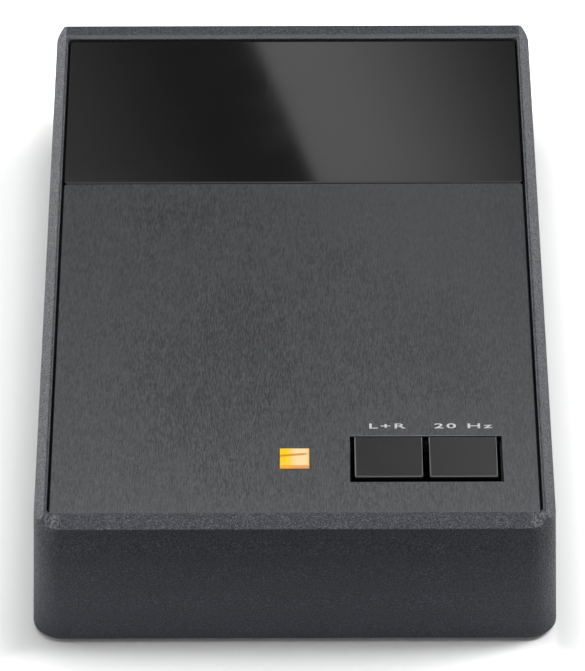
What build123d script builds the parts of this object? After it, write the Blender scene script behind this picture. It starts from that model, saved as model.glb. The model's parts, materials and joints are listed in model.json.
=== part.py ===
from build123d import *
import os
from math import tan, radians

# Tabletop phono preamplifier. Millimetres. +X right, +Y to the rear, +Z up.
# z = 0 is the table under the rubber feet. The case is drawn about its own middle,
# and save() then moves every piece so that y = 0 is the middle of the whole part,
# the sockets at the back included.

# ---- case ----
case_width = 101.6
case_depth = 155.0
case_height = 30.3
foot_gap = 1.0            # clear height under the case edge
clear = 1.0               # how far a cutting shape runs past the face it opens
draft_angle = 2.0         # walls lean in towards the top, as on a casting
corner_radius = 5.8
rim_chamfer = 2.0
edge_softness = 0.25
wall = 2.4
cavity_radius = 3.0
deck_thickness = 2.5
rim_lip = 0.5             # flat top of the rim at the sides and front
rear_rim = 3.65           # the same at the rear
recess_radius = 1.5

# ---- panels let into the top ----
panel_sink = 0.75
panel_thickness = 1.5
panel_radius = 0.8
panel_gap = 0.6
panel_edge = 0.2
seam_gap = 0.12
plate_length = 97.3
film_thickness = 0.2
film_inset = 1.0

# ---- push buttons ----
button_side_inset = 25.5  # middle of the row in from the case's right side
button_setback = 19.2     # and behind its front edge
cap_width = 13.1
cap_depth = 11.35
cap_height = 6.5
cap_proud = 0.6
cap_gap = 1.25
cap_margin = 0.75
cap_wall = 1.1
cap_edge = 0.3
cap_boss = 5.6
button_travel = 2.5
stem_side = 3.4
stem_fit = 0.05           # clearance each side of a sliding stem
flange_side = 5.6
flange_thickness = 1.6
switch_side = 8.6
switch_wall = 1.2
spring_radius = 1.3
spring_wire = 0.35
spring_turns = 4
spring_shut = 3.9         # the spring's height when the key is fully down
spring_seat = 0.1

# ---- pilot lamp ----
lens_side = 5.8
lens_fit = 0.08
lens_flange = 1.0
lens_flange_rim = 1.1
pipe_radius = 2.0
pipe_to_led = 0.5
led_radius = 1.5
led_height = 4.2
led_dome = 1.35
led_rim = 0.3
led_rim_height = 1.0
spacer_radius = 2.2
spacer_bore = 1.1
spacer_height = 4.0

# ---- main board ----
board_thickness = 1.6
board_underside = 8.5     # above the table
board_side_gap = 3.0
board_front_gap = 9.5
board_rear_gap = 0.6
boss_radius = 3.2
boss_side_inset = 12.8    # bosses in from the case's side, front and rear
boss_front_inset = 31.5
boss_rear_inset = 19.5
screw_radius = 1.5
screw_fit = 0.05
screw_head_radius = 2.8
screw_head_height = 1.4
screw_bite = 7.0
screw_tip_gap = 1.0
screw_slot = 0.6
slot_reach = 1.7          # from the screw's middle to the end of its cross slot

# ---- bottom cover and feet ----
cover_thickness = 1.2
cover_sink = 1.4          # cover above the case's bottom edge
cover_ledge = 1.6         # width of the rebate's wall at the case's bottom edge
cover_gap = 0.2
pillar_radius = 4.0
pillar_inset = 7.4        # pillar's middle in from the case's side
pillar_front_inset = 8.0
pillar_rear_inset = 27.5
web_thickness = 2.0
notch_gap = 0.8
foot_radius = 5.0
foot_edge = 0.4
foot_side_inset = 14.8    # feet in from the case's side and ends
foot_end_inset = 15.5

# ---- rear panel and sockets ----
field_inset = 5.3         # field in from the case's side
field_bottom = 5.5
field_top = 27.0
field_y_inset = 1.5       # flat field in front of the case's rear edge
field_radius = 2.0
jack_axis_z = 16.0
jack_pitch = 17.0
jack_margin = 6.0
jack_depth = 10.0
jack_half_height = 5.9
jack_wall = 2.4
jack_collar_radius = 4.9
jack_collar_fit = 0.15
jack_collar_proud = 0.4
shell_radius = 4.15
shell_wall = 0.45
shell_mouth = 0.35
shell_length = 8.6        # clear length outside the collar
shell_root_radius = 3.95  # where it sits in the moulding
shell_root_proud = 0.2    # how much of the root shows outside the collar
insulator_sink = 0.3
pin_hole_radius = 1.65
contact_bore_radius = 1.45  # sprung open by the 3.2 mm pin
contact_radius = 1.95
contact_length = 5.0
jack_screw_bite = 6.0
seat_gap = 0.05

dc_width = 9.0
dc_depth = 12.0
dc_nose_radius = 4.2
dc_bore_radius = 2.85
dc_bore_depth = 9.5
dc_pin_radius = 1.05
dc_pin_tip = 0.6
dc_pin_sink = 1.0
dc_contact_thickness = 0.3
dc_contact_width = 2.0

ground_z = 14.5
stud_radius = 2.0
stud_fit = 0.06
stud_head = 1.2
stud_head_radius = 4.0
stud_tip = 0.3
nut_across = 7.0
nut_thickness = 2.2
washer_radius = 4.6
washer_thickness = 0.8
knob_radius = 4.6
knob_length = 6.4
knob_grooves = 24
knob_groove = 0.35
knob_neck = 1.4
knob_neck_radius = 3.7
knob_grip = 5.2           # thread still in the knob when it is fully out
thread_pitch = 0.7
knob_turns = 4

# ---- setting switches under the board ----
dip_width = 11.8
dip_length = 9.6
dip_height = 3.6
dip_count = 4
dip_pitch = 2.54
dip_slot_width = 1.3
dip_slot_length = 4.4
dip_slot_depth = 1.3
dip_spacing = 26.0
dip_row_y = -12.0
lever_width = 1.0
lever_length = 1.6
lever_fit = 0.15
lever_proud = 0.6
lever_travel = 2.0
window_margin = 2.0

# ---- parts on the board ----
can_radius = 4.0
can_height = 11.5
can_edge = 0.5
can_groove_z = 1.2
can_groove_height = 0.8
can_groove_depth = 0.4
chip_width = 9.6
chip_depth = 6.4
chip_height = 3.3
chip_stand = 0.5
chip_leg = 0.5
chip_edge = 0.4
chip_legs = 8
film_box = (7.2, 3.2, 6.5)
film_edge = 0.4
resistor_radius = 1.2
resistor_length = 6.4
resistor_span = 9.0
lead_radius = 0.3
sink_width = 20.0
sink_depth = 12.0
sink_gap = 2.2            # air between the fins and the deck
sink_boss_gap = 1.8       # and between its side and the board boss
sink_base = 2.0
fin_thickness = 1.2
fin_count = 5
regulator_box = (6.5, 6.1, 2.3)

# Places on the board. Rows are counted forward from the board's rear edge, and the two
# fore rows to the rear from the middle of the keys.
channel_x = 18.0
outer_x = 30.0
chip_rows = (43.5, 65.5)
can_rows = (29.5, 53.5)
film_rows = (53.5, 83.5)
outer_film_row = 79.5
middle_can_x = 6.0
middle_can_row = 21.5
resistor_xs = (-9.0, -5.0, 5.0, 9.0)
resistor_rows = (37.5, 51.5, 65.5, 79.5)
fore_row = 18.3
fore_can_gap = 2.0        # between the heatsink and the first can of the fore row
fore_can_pitch = 11.0

# ---- worked-out places ----
lean = tan(radians(draft_angle))
top_z = foot_gap + case_height
shoulder_z = top_z - rim_chamfer
top_lean = lean * (shoulder_z - foot_gap)
shoulder_half_width = case_width / 2 - top_lean
shoulder_half_depth = case_depth / 2 - top_lean
rim_half_width = shoulder_half_width - rim_chamfer
rim_half_depth = shoulder_half_depth - rim_chamfer
recess_half_width = rim_half_width - rim_lip
recess_front = -rim_half_depth + rim_lip
recess_rear = rim_half_depth - rear_rim
panel_top = top_z - panel_sink
panel_bottom = panel_top - panel_thickness
recess_floor = panel_bottom - film_thickness
deck_bottom = recess_floor - deck_thickness
panel_half_width = recess_half_width - panel_gap
plate_front = recess_front + panel_gap
plate_rear = plate_front + plate_length
window_front = plate_rear + seam_gap
window_rear = recess_rear - panel_gap
cavity_half_width = shoulder_half_width - wall
cavity_half_depth = shoulder_half_depth - wall

cover_bottom = foot_gap + cover_sink
cover_top = cover_bottom + cover_thickness
cover_half_width = case_width / 2 - cover_ledge - cover_gap
cover_half_depth = case_depth / 2 - cover_ledge - cover_gap
cover_radius = corner_radius - cover_ledge - cover_gap

board_bottom = board_underside
board_top = board_bottom + board_thickness
board_half_width = cavity_half_width - board_side_gap
board_front = -cavity_half_depth + board_front_gap
board_rear = cavity_half_depth - board_rear_gap
boss_x = case_width / 2 - boss_side_inset
boss_first = -case_depth / 2 + boss_front_inset
boss_last = case_depth / 2 - boss_rear_inset
boss_rows = (boss_first, (boss_first + boss_last) / 2, boss_last)
boss_places = [(side * boss_x, row) for row in boss_rows for side in (-1, 1)]
pillar_x = case_width / 2 - pillar_inset
pillar_front_y = -case_depth / 2 + pillar_front_inset
pillar_rear_y = case_depth / 2 - pillar_rear_inset
foot_x = case_width / 2 - foot_side_inset
foot_y = case_depth / 2 - foot_end_inset
pillar_places = [(side * pillar_x, row) for row in (pillar_front_y, pillar_rear_y) for side in (-1, 1)]

button_row_x = case_width / 2 - button_side_inset
button_y = -case_depth / 2 + button_setback
button_xs = {
    "left": button_row_x - (cap_width + cap_gap) / 2,
    "right": button_row_x + (cap_width + cap_gap) / 2,
}
cutout_width = 2 * cap_width + cap_gap + 2 * cap_margin
cutout_depth = cap_depth + 2 * cap_margin
cap_top = panel_top + cap_proud
cap_bottom = cap_top - cap_height
switch_floor = board_top + switch_wall
flange_bottom = switch_floor + spring_shut + button_travel
flange_top = flange_bottom + flange_thickness
switch_top = flange_top + spring_seat + switch_wall
stem_top = cap_top - cap_wall - spring_seat

lens_x = 0.0
led_base = board_top + spacer_height
pipe_bottom = led_base + led_height + pipe_to_led

# The sockets stand in one row with equal gaps, from the left: input, ground, output, power.
socket_widths = {
    "input": jack_pitch + 2 * jack_margin,
    "ground": 2 * knob_radius,
    "output": jack_pitch + 2 * jack_margin,
    "power": dc_width,
}
socket_gap = (2 * cavity_half_width - sum(socket_widths.values())) / (len(socket_widths) + 1)
socket_xs = {}
row_end = -cavity_half_width
for socket, width in socket_widths.items():
    socket_xs[socket] = row_end + socket_gap + width / 2
    row_end += socket_gap + width
input_x = socket_xs["input"]
output_x = socket_xs["output"]
ground_x = socket_xs["ground"]
dc_x = socket_xs["power"]

field_width = case_width - 2 * field_inset
field_y = case_depth / 2 - field_y_inset
collar_end = field_y + jack_collar_proud
shell_end = collar_end + shell_length
jack_front = cavity_half_depth - seat_gap
jack_back = jack_front - jack_depth
jack_floor = jack_back + jack_wall
contact_front = jack_floor + contact_length
jack_xs = {
    "input": (input_x - jack_pitch / 2, input_x + jack_pitch / 2),
    "output": (output_x - jack_pitch / 2, output_x + jack_pitch / 2),
}
washer_back = field_y + seat_gap
knob_back = washer_back + washer_thickness + seat_gap
knob_travel = thread_pitch * knob_turns
stud_end = knob_back + knob_travel + knob_grip
dip_xs = {"left": -dip_spacing / 2, "right": dip_spacing / 2}
dip_bottom = board_bottom - dip_height
sides = (-1, 1)
chip_places = [(side * channel_x, board_rear - row) for side in sides for row in chip_rows]
can_places = [(side * outer_x, board_rear - row) for side in sides for row in can_rows]
can_places += [(side * middle_can_x, board_rear - middle_can_row) for side in sides]
sink_x = boss_radius + sink_boss_gap + sink_width / 2 - boss_x
fore_can_x = sink_x + sink_width / 2 + fore_can_gap + can_radius
can_places += [(x, button_y + fore_row) for x in (fore_can_x, fore_can_x + fore_can_pitch)]
film_places = [(side * channel_x, board_rear - row) for side in sides for row in film_rows]
film_places += [(side * outer_x, board_rear - outer_film_row) for side in sides]
resistor_places = [(x, board_rear - row) for x in resistor_xs for row in resistor_rows]
sink_place = (sink_x, button_y + fore_row)
part_middle_y = (shell_end - case_depth / 2) / 2


# ---- shape helpers ----
def block(x0, x1, y0, y1, z0, z1):
    """A box between its low and high corners."""
    middle = Pos((x0 + x1) / 2, (y0 + y1) / 2, (z0 + z1) / 2)
    return middle * Box(x1 - x0, y1 - y0, z1 - z0)


def centred(x, y, width, depth, z0, z1):
    """A box about x, y between two heights."""
    return block(x - width / 2, x + width / 2, y - depth / 2, y + depth / 2, z0, z1)


def slab(x0, x1, y0, y1, z0, z1, radius):
    """A box with rounded upright corners."""
    outline = RectangleRounded(x1 - x0, y1 - y0, radius)
    return extrude(Pos((x0 + x1) / 2, (y0 + y1) / 2, z0) * outline, amount=z1 - z0)


def post(x, y, z0, z1, radius):
    """An upright cylinder."""
    return Pos(x, y, (z0 + z1) / 2) * Cylinder(radius, z1 - z0)


def rod(x, z, y0, y1, radius):
    """A cylinder that runs from front to rear."""
    return Pos(x, (y0 + y1) / 2, z) * Rot(90, 0, 0) * Cylinder(radius, y1 - y0)


def top_edges(shape):
    """The edges round a shape's highest face."""
    return shape.faces().sort_by(Axis.Z)[-1].edges()


def save(node, *shapes):
    """Write one node, moved into the part's own frame. Like pieces stay separate solids."""
    placed = [Pos(0, -part_middle_y, 0) * solid for shape in shapes for solid in shape.solids()]
    export_step(Compound(placed), os.path.join("parts", node + ".step"))


# ---- case ----
def case_outside():
    """The tapered block, with its top edges cut at 45 degrees and mitred at the corners."""
    base = Pos(0, 0, foot_gap) * RectangleRounded(case_width, case_depth, corner_radius)
    tapered = extrude(base, amount=case_height, taper=draft_angle)
    spare = top_lean + clear
    envelope = centred(0, 0, 2 * (shoulder_half_width + spare), 2 * (shoulder_half_depth + spare), 0, top_z)
    envelope = chamfer(top_edges(envelope), rim_chamfer + spare)
    return tapered & envelope


def screw_hole(x, y, z0, depth):
    """A blind hole for a screw's shank, upwards from z0."""
    return post(x, y, z0, z0 + depth, screw_radius + screw_fit)


def case():
    """Cast case: rim, deck, walls, bosses for the board and pillars for the cover."""
    body = case_outside()
    body = fillet(top_edges(body), edge_softness)
    recess = slab(
        -recess_half_width, recess_half_width, recess_front, recess_rear,
        recess_floor, top_z + clear, recess_radius,
    )
    body -= recess
    cavity = slab(
        -cavity_half_width, cavity_half_width, -cavity_half_depth, cavity_half_depth,
        0, deck_bottom, cavity_radius,
    )
    body -= cavity
    body -= slab(
        -cover_half_width - cover_gap, cover_half_width + cover_gap,
        -cover_half_depth - cover_gap, cover_half_depth + cover_gap,
        0, cover_top, cover_radius + cover_gap,
    )
    for x, y in boss_places:
        body += post(x, y, board_top, deck_bottom, boss_radius)
        body -= screw_hole(x, y, board_top, screw_bite)
    for x, y in pillar_places:
        side = 1 if x > 0 else -1
        web_end = side * (cavity_half_width + wall / 2)
        half_web = web_thickness / 2
        body += post(x, y, cover_top, deck_bottom, pillar_radius)
        body += block(min(x, web_end), max(x, web_end), y - half_web, y + half_web, cover_top, deck_bottom)
        body -= screw_hole(x, y, cover_top, screw_bite)
    body -= centred(button_row_x, button_y, cutout_width, cutout_depth, deck_bottom, top_z)
    body -= centred(lens_x, button_y, lens_side + 2 * lens_fit, lens_side + 2 * lens_fit, deck_bottom, top_z)
    body -= rear_openings()
    return body


def rear_openings():
    """The flat field at the back and the holes through it."""
    depth = case_depth / 2 + clear - field_y
    outline = RectangleRounded(field_width, field_top - field_bottom, field_radius)
    plane = Plane(origin=(0, field_y, (field_top + field_bottom) / 2), x_dir=(-1, 0, 0), z_dir=(0, 1, 0))
    cut = extrude(plane * outline, amount=depth)
    hole_start = cavity_half_depth - clear
    hole_end = field_y + clear
    for x in jack_xs["input"] + jack_xs["output"]:
        cut += rod(x, jack_axis_z, hole_start, hole_end, jack_collar_radius + jack_collar_fit)
    for x in (input_x, output_x):
        cut += rod(x, jack_axis_z, hole_start, hole_end, screw_radius + screw_fit)
    cut += rod(dc_x, jack_axis_z, hole_start, hole_end, dc_nose_radius + jack_collar_fit)
    cut += rod(ground_x, ground_z, hole_start, hole_end, stud_radius + stud_fit)
    return cut


# ---- panels ----
def panel_holes(z0, z1):
    """The button cut-out and the lens hole."""
    lens_hole = lens_side + 2 * lens_fit
    holes = centred(button_row_x, button_y, cutout_width, cutout_depth, z0, z1)
    return holes + centred(lens_x, button_y, lens_hole, lens_hole, z0, z1)


def panel(front, rear):
    """A flat panel with a broken top edge."""
    shape = slab(
        -panel_half_width, panel_half_width, front, rear, panel_bottom, panel_top, panel_radius,
    )
    return chamfer(top_edges(shape), panel_edge)


def film(front, rear):
    """The adhesive film under a panel."""
    return block(
        -panel_half_width + film_inset, panel_half_width - film_inset,
        front + film_inset, rear - film_inset, recess_floor, panel_bottom,
    )


# ---- push buttons ----
def button_cap(x):
    """A hollow square key with a socket for the switch's stem."""
    shape = centred(x, button_y, cap_width, cap_depth, cap_bottom, cap_top)
    shape = fillet(top_edges(shape), cap_edge)
    hollow = centred(
        x, button_y, cap_width - 2 * cap_wall, cap_depth - 2 * cap_wall,
        cap_bottom, cap_top - cap_wall,
    )
    boss = centred(x, button_y, cap_boss, cap_boss, cap_bottom, cap_top - cap_wall)
    socket = stem_side + 2 * stem_fit
    return shape - (hollow - boss) - centred(x, button_y, socket, socket, cap_bottom, cap_top - cap_wall)


def switch_body(x):
    """The push switch's housing, open at the top for its stem."""
    shape = centred(x, button_y, switch_side, switch_side, board_top, switch_top)
    chamber = flange_side + 4 * stem_fit
    shape -= centred(x, button_y, chamber, chamber, switch_floor, switch_top - switch_wall)
    way = stem_side + 2 * stem_fit
    return shape - centred(x, button_y, way, way, switch_floor, switch_top)


def switch_plunger(x):
    """The stem that carries the cap, with the flange that stops it under the housing's lid."""
    stem = centred(x, button_y, stem_side, stem_side, flange_bottom, stem_top)
    return stem + centred(x, button_y, flange_side, flange_side, flange_bottom, flange_top)


def switch_spring(x):
    """The return spring between the housing's floor and the plunger."""
    low = switch_floor + spring_wire + spring_seat
    high = flange_bottom - spring_wire - spring_seat
    coil = Helix(pitch=(high - low) / spring_turns, height=high - low, radius=spring_radius)
    section = Plane(origin=coil @ 0, z_dir=coil % 0) * Circle(spring_wire)
    return Pos(x, button_y, low) * sweep(section, path=coil)


# ---- pilot lamp ----
def lamp_lens():
    """A square light pipe: head in the plate, flange under the deck, round pipe to the lamp."""
    head = centred(lens_x, button_y, lens_side, lens_side, deck_bottom - lens_flange, panel_top + film_thickness)
    head = chamfer(top_edges(head), film_thickness)
    rim = lens_side + 2 * lens_flange_rim
    flange = centred(lens_x, button_y, rim, rim, deck_bottom - lens_flange, deck_bottom - seat_gap)
    return head + flange + post(lens_x, button_y, pipe_bottom, deck_bottom, pipe_radius)


def status_led():
    """The lamp: a round body with a domed top and a rim at its foot."""
    body = post(lens_x, button_y, led_base, led_base + led_height, led_radius)
    body = fillet(top_edges(body), led_dome)
    return body + post(lens_x, button_y, led_base, led_base + led_rim_height, led_radius + led_rim)


def led_spacer():
    """The tube that holds the lamp up off the board."""
    tube = post(lens_x, button_y, board_top, led_base, spacer_radius)
    return tube - post(lens_x, button_y, board_top, led_base, spacer_bore)


# ---- fasteners ----
def pan_screw_up(x, y, seat, bite, grip):
    """A pan-head screw from below: seat is under its head, grip is what it clamps."""
    screw = post(x, y, seat - screw_head_height, seat, screw_head_radius)
    screw = fillet(screw.faces().sort_by(Axis.Z)[0].edges(), screw_head_height / 2)
    low = seat - screw_head_height
    screw -= centred(x, y, 2 * slot_reach, screw_slot, low, low + screw_head_height / 2)
    screw -= centred(x, y, screw_slot, 2 * slot_reach, low, low + screw_head_height / 2)
    return screw + post(x, y, seat, seat + grip + bite - screw_tip_gap, screw_radius)


def jack_screw(x):
    """A pan-head screw from the rear into a socket housing."""
    screw = rod(x, jack_axis_z, field_y, field_y + screw_head_height, screw_head_radius)
    screw = fillet(screw.faces().sort_by(Axis.Y)[-1].edges(), screw_head_height / 2)
    outer = field_y + screw_head_height
    low = outer - screw_head_height / 2
    half_slot = screw_slot / 2
    for across, upright in ((slot_reach, half_slot), (half_slot, slot_reach)):
        screw -= block(x - across, x + across, low, outer, jack_axis_z - upright, jack_axis_z + upright)
    return screw + rod(x, jack_axis_z, jack_front - jack_screw_bite + screw_tip_gap, field_y, screw_radius)


# ---- board, cover and feet ----
def main_board():
    """The printed circuit board, notched round the cover's rear pillars."""
    board = block(-board_half_width, board_half_width, board_front, board_rear, board_bottom, board_top)
    notch = pillar_radius + notch_gap
    for x, y in pillar_places:
        side = 1 if x > 0 else -1
        outer = side * (board_half_width + clear)
        board -= post(x, y, board_bottom, board_top, notch)
        board -= block(min(x, outer), max(x, outer), y - notch, y + notch, board_bottom, board_top)
    for x, y in boss_places:
        board -= post(x, y, board_bottom, board_top, screw_radius + screw_fit)
    return board


def bottom_cover():
    """The sheet that closes the case, with a window for the setting switches."""
    cover = slab(
        -cover_half_width, cover_half_width, -cover_half_depth, cover_half_depth,
        cover_bottom, cover_top, cover_radius,
    )
    window_width = dip_spacing + dip_width + 2 * window_margin
    window_depth = dip_length + 2 * window_margin
    cover -= centred(0, dip_row_y, window_width, window_depth, cover_bottom, cover_top)
    for x, y in pillar_places:
        cover -= post(x, y, cover_bottom, cover_top, screw_radius + screw_fit)
    return cover


def foot(x, y):
    """A stick-on rubber foot."""
    shape = post(x, y, 0, cover_bottom, foot_radius)
    return chamfer(shape.faces().sort_by(Axis.Z)[0].edges(), foot_edge)


# ---- signal sockets ----
def jack_housing(middle_x):
    """The moulding that carries a pair of signal sockets on the board's rear edge."""
    half = jack_pitch / 2 + jack_margin
    low = board_top
    high = jack_axis_z + jack_half_height
    body = block(middle_x - half, middle_x + half, jack_back, jack_front, low, high)
    for x in (middle_x - jack_pitch / 2, middle_x + jack_pitch / 2):
        body += rod(x, jack_axis_z, jack_front, collar_end, jack_collar_radius)
        body -= rod(x, jack_axis_z, jack_floor, collar_end, shell_root_radius)
    body -= rod(middle_x, jack_axis_z, jack_front - jack_screw_bite, jack_front, screw_radius + screw_fit)
    return body


def jack_shell(x):
    """A plated tube with a rounded mouth, stepped down at its root in the moulding."""
    shell = rod(x, jack_axis_z, collar_end + shell_root_proud, shell_end, shell_radius)
    shell = fillet(shell.faces().sort_by(Axis.Y)[-1].edges(), shell_mouth)
    shell += rod(x, jack_axis_z, jack_floor, collar_end + shell_root_proud, shell_root_radius)
    return shell - rod(x, jack_axis_z, jack_floor, shell_end, shell_radius - shell_wall)


def jack_insulator(x):
    """The moulded plug inside a shell, with the hole for the centre pin."""
    radius = shell_radius - shell_wall
    plug = rod(x, jack_axis_z, jack_floor, shell_end - insulator_sink, radius)
    plug -= rod(x, jack_axis_z, jack_floor, shell_end, pin_hole_radius)
    return plug - rod(x, jack_axis_z, jack_floor, contact_front, contact_radius)


def jack_contact(x):
    """The spring sleeve at the bottom of the centre hole."""
    sleeve = rod(x, jack_axis_z, jack_floor, contact_front, contact_radius)
    return sleeve - rod(x, jack_axis_z, jack_floor, contact_front, contact_bore_radius)


# ---- power socket ----
def dc_jack_housing():
    """The power socket's moulding, with its round nose through the rear wall."""
    body = block(dc_x - dc_width / 2, dc_x + dc_width / 2, jack_front - dc_depth, jack_front,
                 board_top, jack_axis_z + jack_half_height)
    body += rod(dc_x, jack_axis_z, jack_front, collar_end, dc_nose_radius)
    body -= rod(dc_x, jack_axis_z, collar_end - dc_bore_depth, collar_end, dc_bore_radius)
    body -= dc_pin()
    return body - dc_contact()


def dc_pin():
    """The centre pin, seated in the housing's back."""
    back = jack_front - dc_depth
    pin = rod(dc_x, jack_axis_z, back, collar_end - dc_pin_sink, dc_pin_radius)
    return chamfer(pin.faces().sort_by(Axis.Y)[-1].edges(), dc_pin_tip)


def dc_contact():
    """The leaf that touches the plug's sleeve, let into the floor of the bore."""
    low = jack_axis_z - dc_bore_radius - dc_contact_thickness
    back = collar_end - dc_bore_depth
    return block(dc_x - dc_contact_width / 2, dc_x + dc_contact_width / 2, back, jack_front,
                 low, low + dc_contact_thickness)


# ---- ground terminal ----
def ground_stud():
    """The threaded post, headed inside the case."""
    inner = cavity_half_depth - nut_thickness - stud_head
    head = rod(ground_x, ground_z, inner, inner + stud_head, stud_head_radius)
    stud = head + rod(ground_x, ground_z, inner, stud_end, stud_radius)
    return chamfer(stud.faces().sort_by(Axis.Y)[-1].edges(), stud_tip)


def ground_nut():
    """The hexagon nut that holds the post to the rear wall."""
    outline = RegularPolygon(nut_across / 2, 6, major_radius=False)
    start = cavity_half_depth - nut_thickness
    plane = Plane(origin=(ground_x, start, ground_z), x_dir=(-1, 0, 0), z_dir=(0, 1, 0))
    nut = extrude(plane * outline, amount=nut_thickness - seat_gap)
    return nut - rod(ground_x, ground_z, start, cavity_half_depth, stud_radius + stud_fit)


def ground_washer():
    """The flat washer under the knob."""
    ring = rod(ground_x, ground_z, washer_back, washer_back + washer_thickness, washer_radius)
    return ring - rod(ground_x, ground_z, washer_back, knob_back, stud_radius + stud_fit)


def ground_knob():
    """The grooved thumb nut."""
    end = knob_back + knob_length
    knob = rod(ground_x, ground_z, knob_back + knob_neck, end, knob_radius)
    for step in range(knob_grooves):
        turn = Pos(ground_x, 0, ground_z) * Rot(0, 360 * step / knob_grooves, 0)
        knob -= turn * rod(knob_radius, 0, knob_back + knob_neck, end, knob_groove)
    knob += rod(ground_x, ground_z, knob_back, knob_back + knob_neck, knob_neck_radius)
    return knob - rod(ground_x, ground_z, knob_back, end, stud_radius + stud_fit)


# ---- setting switches ----
def lever_places(middle_x):
    """The x of each lever in a bank."""
    first = middle_x - dip_pitch * (dip_count - 1) / 2
    return [first + dip_pitch * step for step in range(dip_count)]


def dip_switch(middle_x):
    """A bank of slide switches, face down, with a slot for each lever."""
    body = centred(middle_x, dip_row_y, dip_width, dip_length, dip_bottom, board_bottom)
    for x in lever_places(middle_x):
        body -= centred(x, dip_row_y, dip_slot_width, dip_slot_length, dip_bottom, dip_bottom + dip_slot_depth)
    return body


def dip_lever(x):
    """One lever, at the front end of its slot."""
    front = dip_row_y - (lever_travel + lever_length) / 2
    high = dip_bottom + dip_slot_depth - lever_fit
    return block(x - lever_width / 2, x + lever_width / 2, front, front + lever_length,
                 dip_bottom - lever_proud, high)


# ---- parts on the board ----
def chip(x, y):
    """An eight-leg amplifier chip."""
    low = board_top + chip_stand
    body = centred(x, y, chip_width, chip_depth, low, low + chip_height)
    body = chamfer(top_edges(body), chip_edge)
    columns = chip_legs // 2
    for column in range(columns):
        leg_x = x + (column - (columns - 1) / 2) * dip_pitch
        for side in (-1, 1):
            leg_y = y + side * chip_depth / 2
            body += centred(leg_x, leg_y, chip_leg, 2 * chip_leg, board_top, low + chip_height / 2)
    return body


def can(x, y):
    """An electrolytic capacitor, with the groove round its foot."""
    body = post(x, y, board_top, board_top + can_height, can_radius)
    body = fillet(top_edges(body), can_edge)
    low = board_top + can_groove_z
    high = low + can_groove_height
    groove = post(x, y, low, high, can_radius + clear)
    return body - (groove - post(x, y, low, high, can_radius - can_groove_depth))


def film_capacitor(x, y):
    """A box film capacitor."""
    width, depth, height = film_box
    body = centred(x, y, width, depth, board_top, board_top + height)
    return fillet(top_edges(body), film_edge)


def resistor(x, y):
    """A metal-film resistor lying on its leads."""
    axis_z = board_top + resistor_radius + lead_radius
    body = rod(x, axis_z, y - resistor_length / 2, y + resistor_length / 2, resistor_radius)
    body += rod(x, axis_z, y - resistor_span / 2, y + resistor_span / 2, lead_radius)
    for end in (-1, 1):
        body += post(x, y + end * (resistor_span / 2 - lead_radius), board_top, axis_z, lead_radius)
    return body


def heatsink(x, y):
    """A finned heatsink standing on the regulator's tab."""
    low = board_top + regulator_box[2]
    high = deck_bottom - sink_gap
    sink = centred(x, y, sink_width, sink_depth, low, low + sink_base)
    for step in range(fin_count):
        share = step / (fin_count - 1) - 0.5
        fin_x = x + share * (sink_width - fin_thickness)
        sink += centred(fin_x, y, fin_thickness, sink_depth, low, high)
    return sink


def regulator(x, y):
    """The voltage regulator, under its heatsink."""
    width, depth, height = regulator_box
    return centred(x, y, width, depth, board_top, board_top + height)


def main():
    os.makedirs("parts", exist_ok=True)
    save("case", case())
    save("top_plate", panel(plate_front, plate_rear) - panel_holes(panel_bottom, panel_top))
    save("window_panel", panel(window_front, window_rear))
    save("plate_adhesive", film(plate_front, plate_rear) - panel_holes(recess_floor, panel_bottom))
    save("window_adhesive", film(window_front, window_rear))
    save("lamp_lens", lamp_lens())
    save("status_led", status_led())
    save("led_spacer", led_spacer())
    for side, x in button_xs.items():
        save(side + "_button_cap", button_cap(x))
        save(side + "_switch_body", switch_body(x))
        save(side + "_switch_plunger", switch_plunger(x))
        save(side + "_switch_spring", switch_spring(x))
    save("main_board", main_board())
    save("board_screws", *(
        pan_screw_up(x, y, board_bottom, screw_bite, board_thickness) for x, y in boss_places))
    save("bottom_cover", bottom_cover())
    save("cover_screws", *(
        pan_screw_up(x, y, cover_bottom, screw_bite, cover_thickness) for x, y in pillar_places))
    save("rubber_feet", *(foot(x, y) for x in (-foot_x, foot_x) for y in (-foot_y, foot_y)))
    for pair, middle in (("input", input_x), ("output", output_x)):
        save(pair + "_jack_housing", jack_housing(middle))
        save(pair + "_jack_shells", *(jack_shell(x) for x in jack_xs[pair]))
    save("left_jack_insulators", *(jack_insulator(jack_xs[pair][1]) for pair in jack_xs))
    save("right_jack_insulators", *(jack_insulator(jack_xs[pair][0]) for pair in jack_xs))
    save("jack_contacts", *(jack_contact(x) for pair in jack_xs for x in jack_xs[pair]))
    save("jack_screws", *(jack_screw(x) for x in (input_x, output_x)))
    save("dc_jack_housing", dc_jack_housing())
    save("dc_jack_pin", dc_pin())
    save("dc_jack_contact", dc_contact())
    save("ground_stud", ground_stud())
    save("ground_nut", ground_nut())
    save("ground_washer", ground_washer())
    save("ground_knob", ground_knob())
    for side, middle in dip_xs.items():
        save(side + "_dip_switch", dip_switch(middle))
        for number, x in enumerate(lever_places(middle), start=1):
            save(f"{side}_dip_lever_{number}", dip_lever(x))
    save("amplifier_chips", *(chip(x, y) for x, y in chip_places))
    save("electrolytic_capacitors", *(can(x, y) for x, y in can_places))
    save("film_capacitors", *(film_capacitor(x, y) for x, y in film_places))
    save("resistors", *(resistor(x, y) for x, y in resistor_places))
    save("regulator", regulator(*sink_place))
    save("regulator_heatsink", heatsink(*sink_place))


main()
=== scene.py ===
import json
from math import cos, pi, radians, sin

import bmesh
import bpy
from bpy.props import FloatProperty, FloatVectorProperty, PointerProperty, StringProperty
from mathutils import Matrix, Vector

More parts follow.
